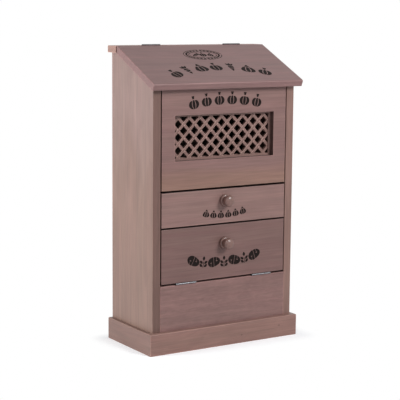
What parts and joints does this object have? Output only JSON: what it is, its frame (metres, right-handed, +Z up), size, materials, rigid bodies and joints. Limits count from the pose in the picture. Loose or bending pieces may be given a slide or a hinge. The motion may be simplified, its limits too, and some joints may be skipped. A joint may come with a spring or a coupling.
{
  "type": "vegetable storage cabinet",
  "caption": "Upright stained-wood vegetable cabinet: sloping hinged lid, lattice-fronted bin, shallow drawer and a bottom-hinged tilt-out bin over a skirting base.",
  "frame": {"origin": "on the floor, under the middle of the width and the middle of the depth from knob to back", "axes": "+Z up, -Y out of the front face with the drawer and bin, +X to the right seen from the front"},
  "size_m": [0.381, 0.202, 0.6528],
  "materials": {
    "stained_wood": "brown-mauve stained softwood under a satin lacquer",
    "stained_wood_inside": "the same stain, matt, on inner boards",
    "plywood": "thin stained plywood",
    "turned_wood": "turned, stained and glossier than the boards",
    "zinc_plated_steel": "zinc-plated",
    "dark_steel": "dark burnished steel",
    "bright_steel": "plain steel screws and nails"
  },
  "bodies": {
    "cabinet": {"back_nails": "bright_steel", "back_panel": "plywood", "bin_hinge_left_fixed_leaf": "zinc_plated_steel", "bin_hinge_left_pin": "zinc_plated_steel", "bin_hinge_right_fixed_leaf": "zinc_plated_steel", "bin_hinge_right_pin": "zinc_plated_steel", "bottom_board": "stained_wood_inside", "drawer_shelf": "stained_wood_inside", "lattice_beads": "stained_wood_inside", "lattice_falling_strips": "stained_wood", "lattice_rising_strips": "stained_wood", "left_panel_cleat": "stained_wood_inside", "left_side_board": "stained_wood", "lid_hinge_left_fixed_leaf": "dark_steel", "lid_hinge_left_pin": "dark_steel", "lid_hinge_right_fixed_leaf": "dark_steel", "lid_hinge_right_pin": "dark_steel", "lower_front_panel": "stained_wood", "onion_front_panel": "stained_wood", "onion_shelf": "stained_wood_inside", "plinth_front": "stained_wood", "plinth_left": "stained_wood", "plinth_right": "stained_wood", "rear_rail": "stained_wood", "right_panel_cleat": "stained_wood_inside", "right_side_board": "stained_wood"},
    "lid": {"lid_board": "stained_wood", "lid_hinge_left_moving_leaf": "dark_steel", "lid_hinge_right_moving_leaf": "dark_steel"},
    "drawer": {"drawer_back": "stained_wood_inside", "drawer_bottom": "plywood", "drawer_front": "stained_wood", "drawer_knob": "turned_wood", "drawer_knob_screw": "bright_steel", "drawer_left_side": "stained_wood_inside", "drawer_right_side": "stained_wood_inside"},
    "bin": {"bin_back": "stained_wood_inside", "bin_floor": "plywood", "bin_front": "stained_wood", "bin_hinge_left_moving_leaf": "zinc_plated_steel", "bin_hinge_right_moving_leaf": "zinc_plated_steel", "bin_inner_board": "stained_wood_inside", "bin_knob": "turned_wood", "bin_knob_screw": "bright_steel", "bin_left_cheek": "stained_wood_inside", "bin_right_cheek": "stained_wood_inside"}
  },
  "joints": [
    {"name": "lid_hinge", "type": "hinge", "parent": "cabinet", "child": "lid", "pos_m": [0, 0.0631, 0.6509], "axis": [-1, 0, 0], "range_deg": [0, 120]},
    {"name": "drawer_slide", "type": "slide", "parent": "cabinet", "child": "drawer", "axis": [0, -1, 0], "range_m": [0, 0.12]},
    {"name": "bin_tilt", "type": "hinge", "parent": "cabinet", "child": "bin", "pos_m": [0, -0.077, 0.148], "axis": [1, 0, 0], "range_deg": [0, 40]}
  ]
}
